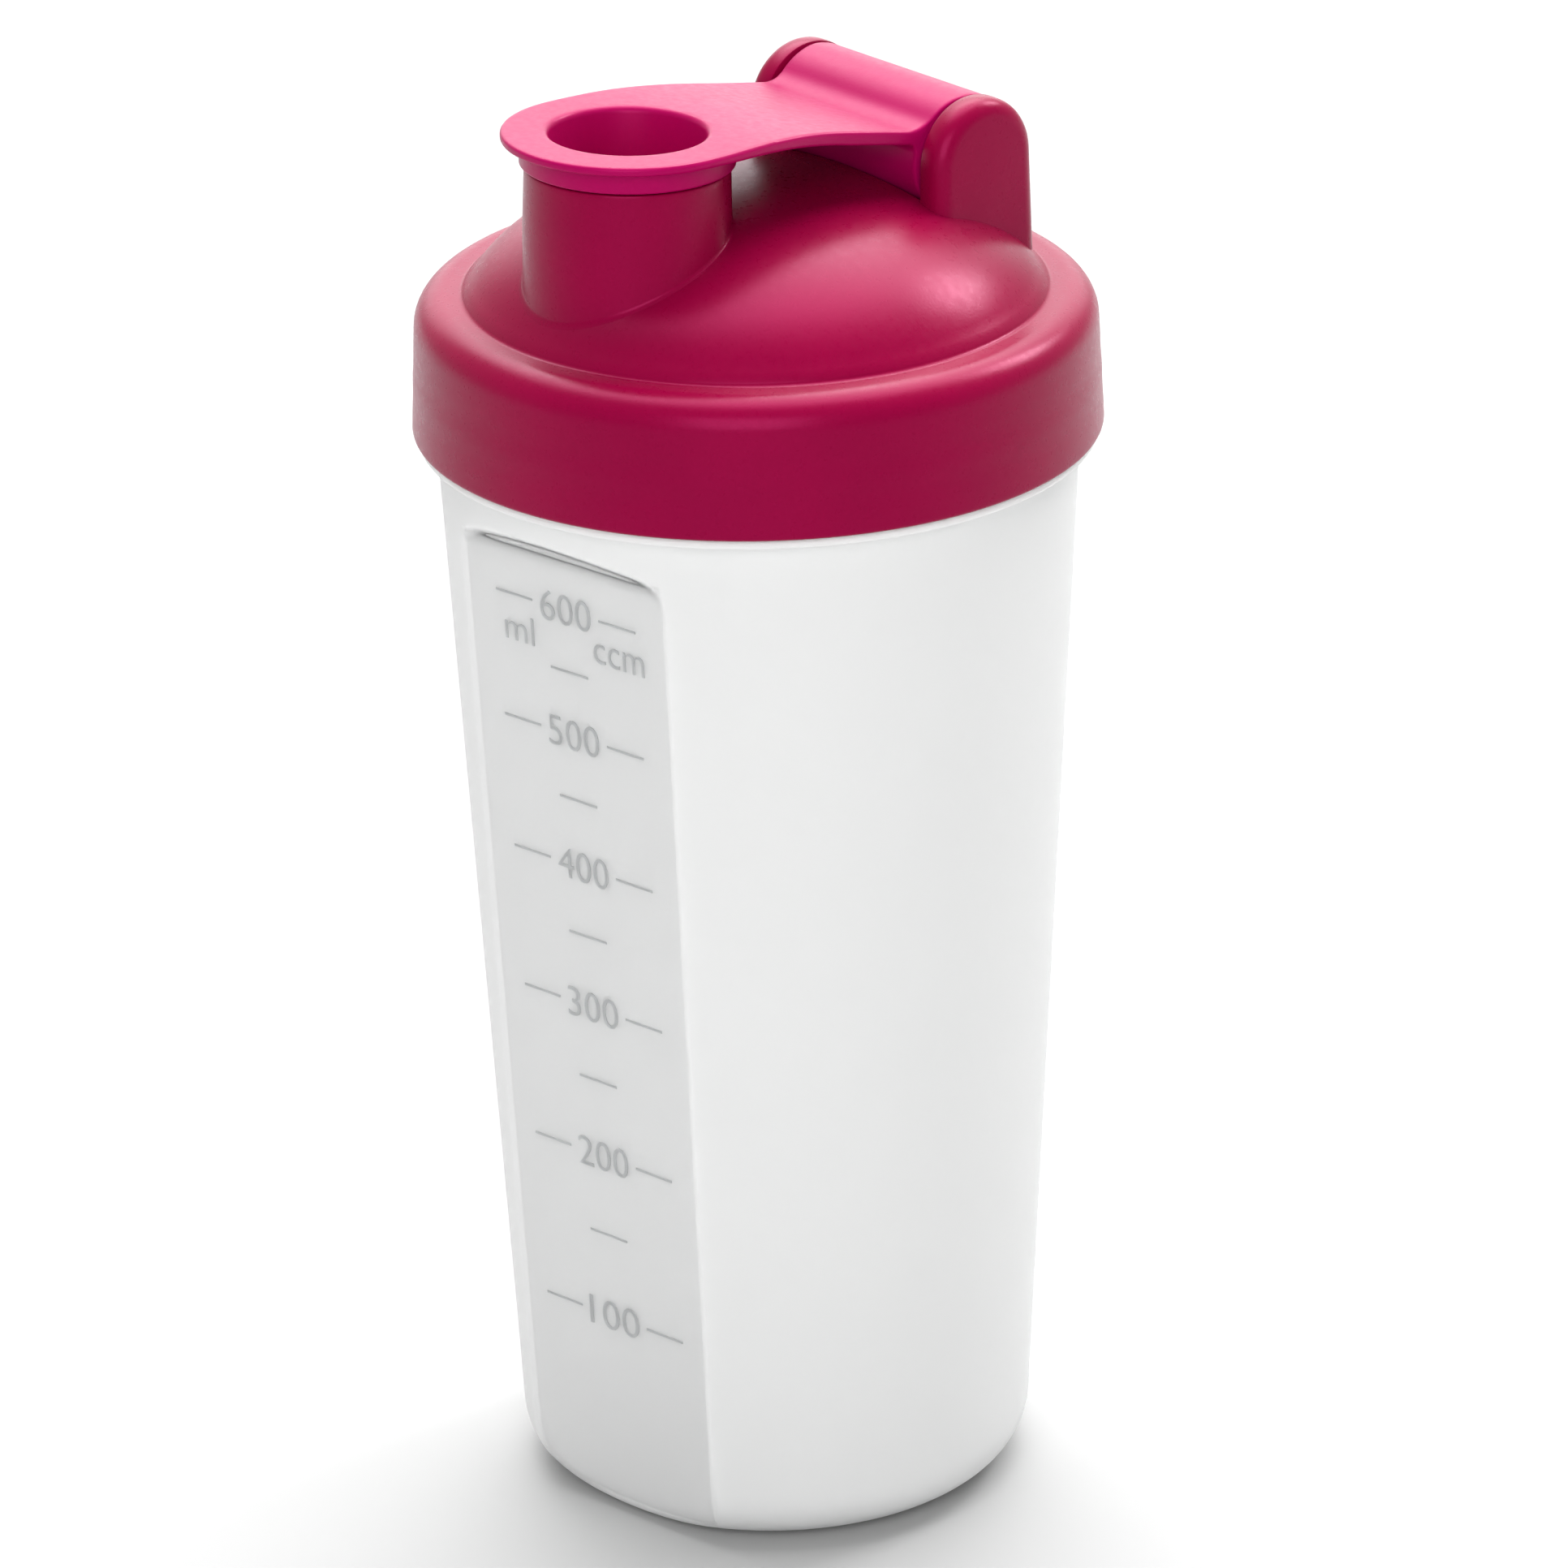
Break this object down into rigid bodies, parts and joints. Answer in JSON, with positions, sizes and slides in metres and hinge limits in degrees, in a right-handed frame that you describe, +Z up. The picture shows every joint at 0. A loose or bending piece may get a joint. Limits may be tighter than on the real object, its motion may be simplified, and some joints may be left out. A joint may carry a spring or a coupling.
{
  "type": "protein shaker bottle",
  "caption": "Tapered frosted shaker bottle with a flat measuring panel, a magenta screw lid with a side spout, and a hinged flip cap.",
  "frame": {"origin": "middle of the foot, on the surface the bottle stands on", "axes": "+Z up along the bottle; the spout is towards -Y; the hinge axis lies along X"},
  "size_m": [0.095, 0.095, 0.2036],
  "materials": {
    "frosted_wall": "satin",
    "sieve_plastic": "satin",
    "seal_rubber": "matte",
    "lid_plastic": "satin",
    "cap_plastic": "satin"
  },
  "bodies": {
    "cup": {"cup": "frosted_wall", "mixing_sieve": "sieve_plastic"},
    "seal": {"lid_seal": "seal_rubber"},
    "lid": {"screw_lid": "lid_plastic"},
    "flip_cap": {"flip_cap": "cap_plastic"}
  },
  "joints": [
    {"name": "lid_rise", "type": "slide", "parent": "cup", "child": "seal", "axis": [0, 0, 1], "range_m": [0, 0.0075]},
    {"name": "lid_turn", "type": "hinge", "parent": "seal", "child": "lid", "pos_m": [0, 0, 0.1561], "axis": [0, 0, 1], "range_deg": [0, 450]},
    {"name": "cap_hinge", "type": "hinge", "parent": "lid", "child": "flip_cap", "pos_m": [0, 0.0246, 0.1923], "axis": [-1, 0, 0], "range_deg": [0, 185]}
  ],
  "couplings": [
    {"joint": "lid_rise", "follows": "lid_turn", "m_per_rad": 0.00095493}
  ]
}
